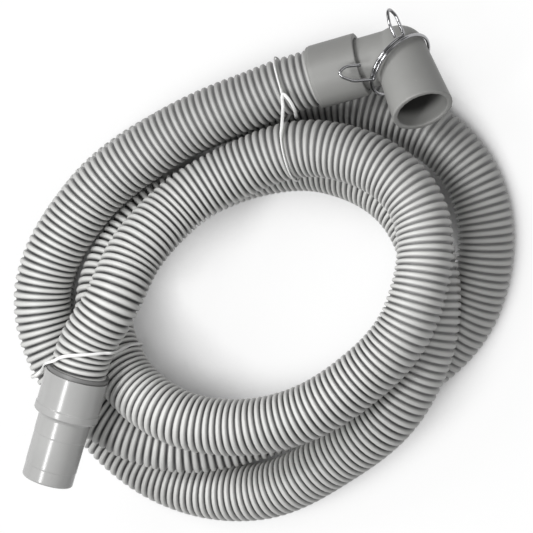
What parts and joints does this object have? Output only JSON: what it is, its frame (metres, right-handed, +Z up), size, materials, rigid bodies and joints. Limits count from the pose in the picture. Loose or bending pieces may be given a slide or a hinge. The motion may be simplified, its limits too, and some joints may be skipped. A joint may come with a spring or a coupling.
{
  "type": "pool vacuum hose",
  "caption": "Coiled ribbed pool vacuum hose with a swivelling elbow cuff and wire spring clamp at one end and a swivelling straight cuff at the other, tied with twist ties.",
  "frame": {"origin": "on the floor under the centre of the whole coil's bounding box", "axes": "+Z up from the floor the coil lies on, +Y across the coil towards the elbow cuff, +X across the coil towards the open right-hand side"},
  "size_m": [0.3714, 0.3798, 0.1437],
  "materials": {
    "hose_grey": "satin, light grey EVA with paler rib crests",
    "sleeve_grey": "satin moulded grey",
    "elbow_grey": "satin moulded grey",
    "cuff_grey": "semi-gloss moulded grey",
    "seal_rubber": "matt black washer",
    "ring_steel": "plain stainless spring ring",
    "clamp_steel": "bright spring wire",
    "tie_white": "white plastic-coated tie wire"
  },
  "bodies": {
    "coil": {"hose": "hose_grey", "elbow_sleeve": "sleeve_grey", "elbow_washer": "seal_rubber", "elbow_ring": "ring_steel", "cuff_bush": "cuff_grey", "cuff_washer": "seal_rubber", "cuff_ring": "ring_steel", "top_tie": "tie_white", "side_tie": "tie_white"},
    "elbow": {"elbow": "elbow_grey"},
    "clamp_long": {"clamp_long_wire": "clamp_steel"},
    "clamp_short": {"clamp_short_wire": "clamp_steel"},
    "cuff": {"swivel_cuff": "cuff_grey"}
  },
  "joints": [
    {"name": "elbow_swivel", "type": "hinge", "parent": "coil", "child": "elbow", "pos_m": [0.08179, 0.14709, 0.05636], "axis": [0.9565, 0.282, -0.0753], "range_deg": [-150, 15]},
    {"name": "clamp_turn", "type": "hinge", "parent": "elbow", "child": "clamp_long", "pos_m": [0.11189, 0.14742, 0.05892], "axis": [0.7788, -0.51, 0.3652], "range_deg": [-10, 6]},
    {"name": "clamp_squeeze", "type": "hinge", "parent": "clamp_long", "child": "clamp_short", "pos_m": [0.12597, 0.15321, 0.03698], "axis": [0.7788, -0.51, 0.3652], "range_deg": [-7, 0], "stiffness_Nm_per_rad": 3},
    {"name": "straight_cuff_swivel", "type": "hinge", "parent": "coil", "child": "cuff", "pos_m": [-0.12423, -0.10575, 0.11548], "axis": [-0.3035, -0.9478, -0.0976], "continuous": true}
  ]
}
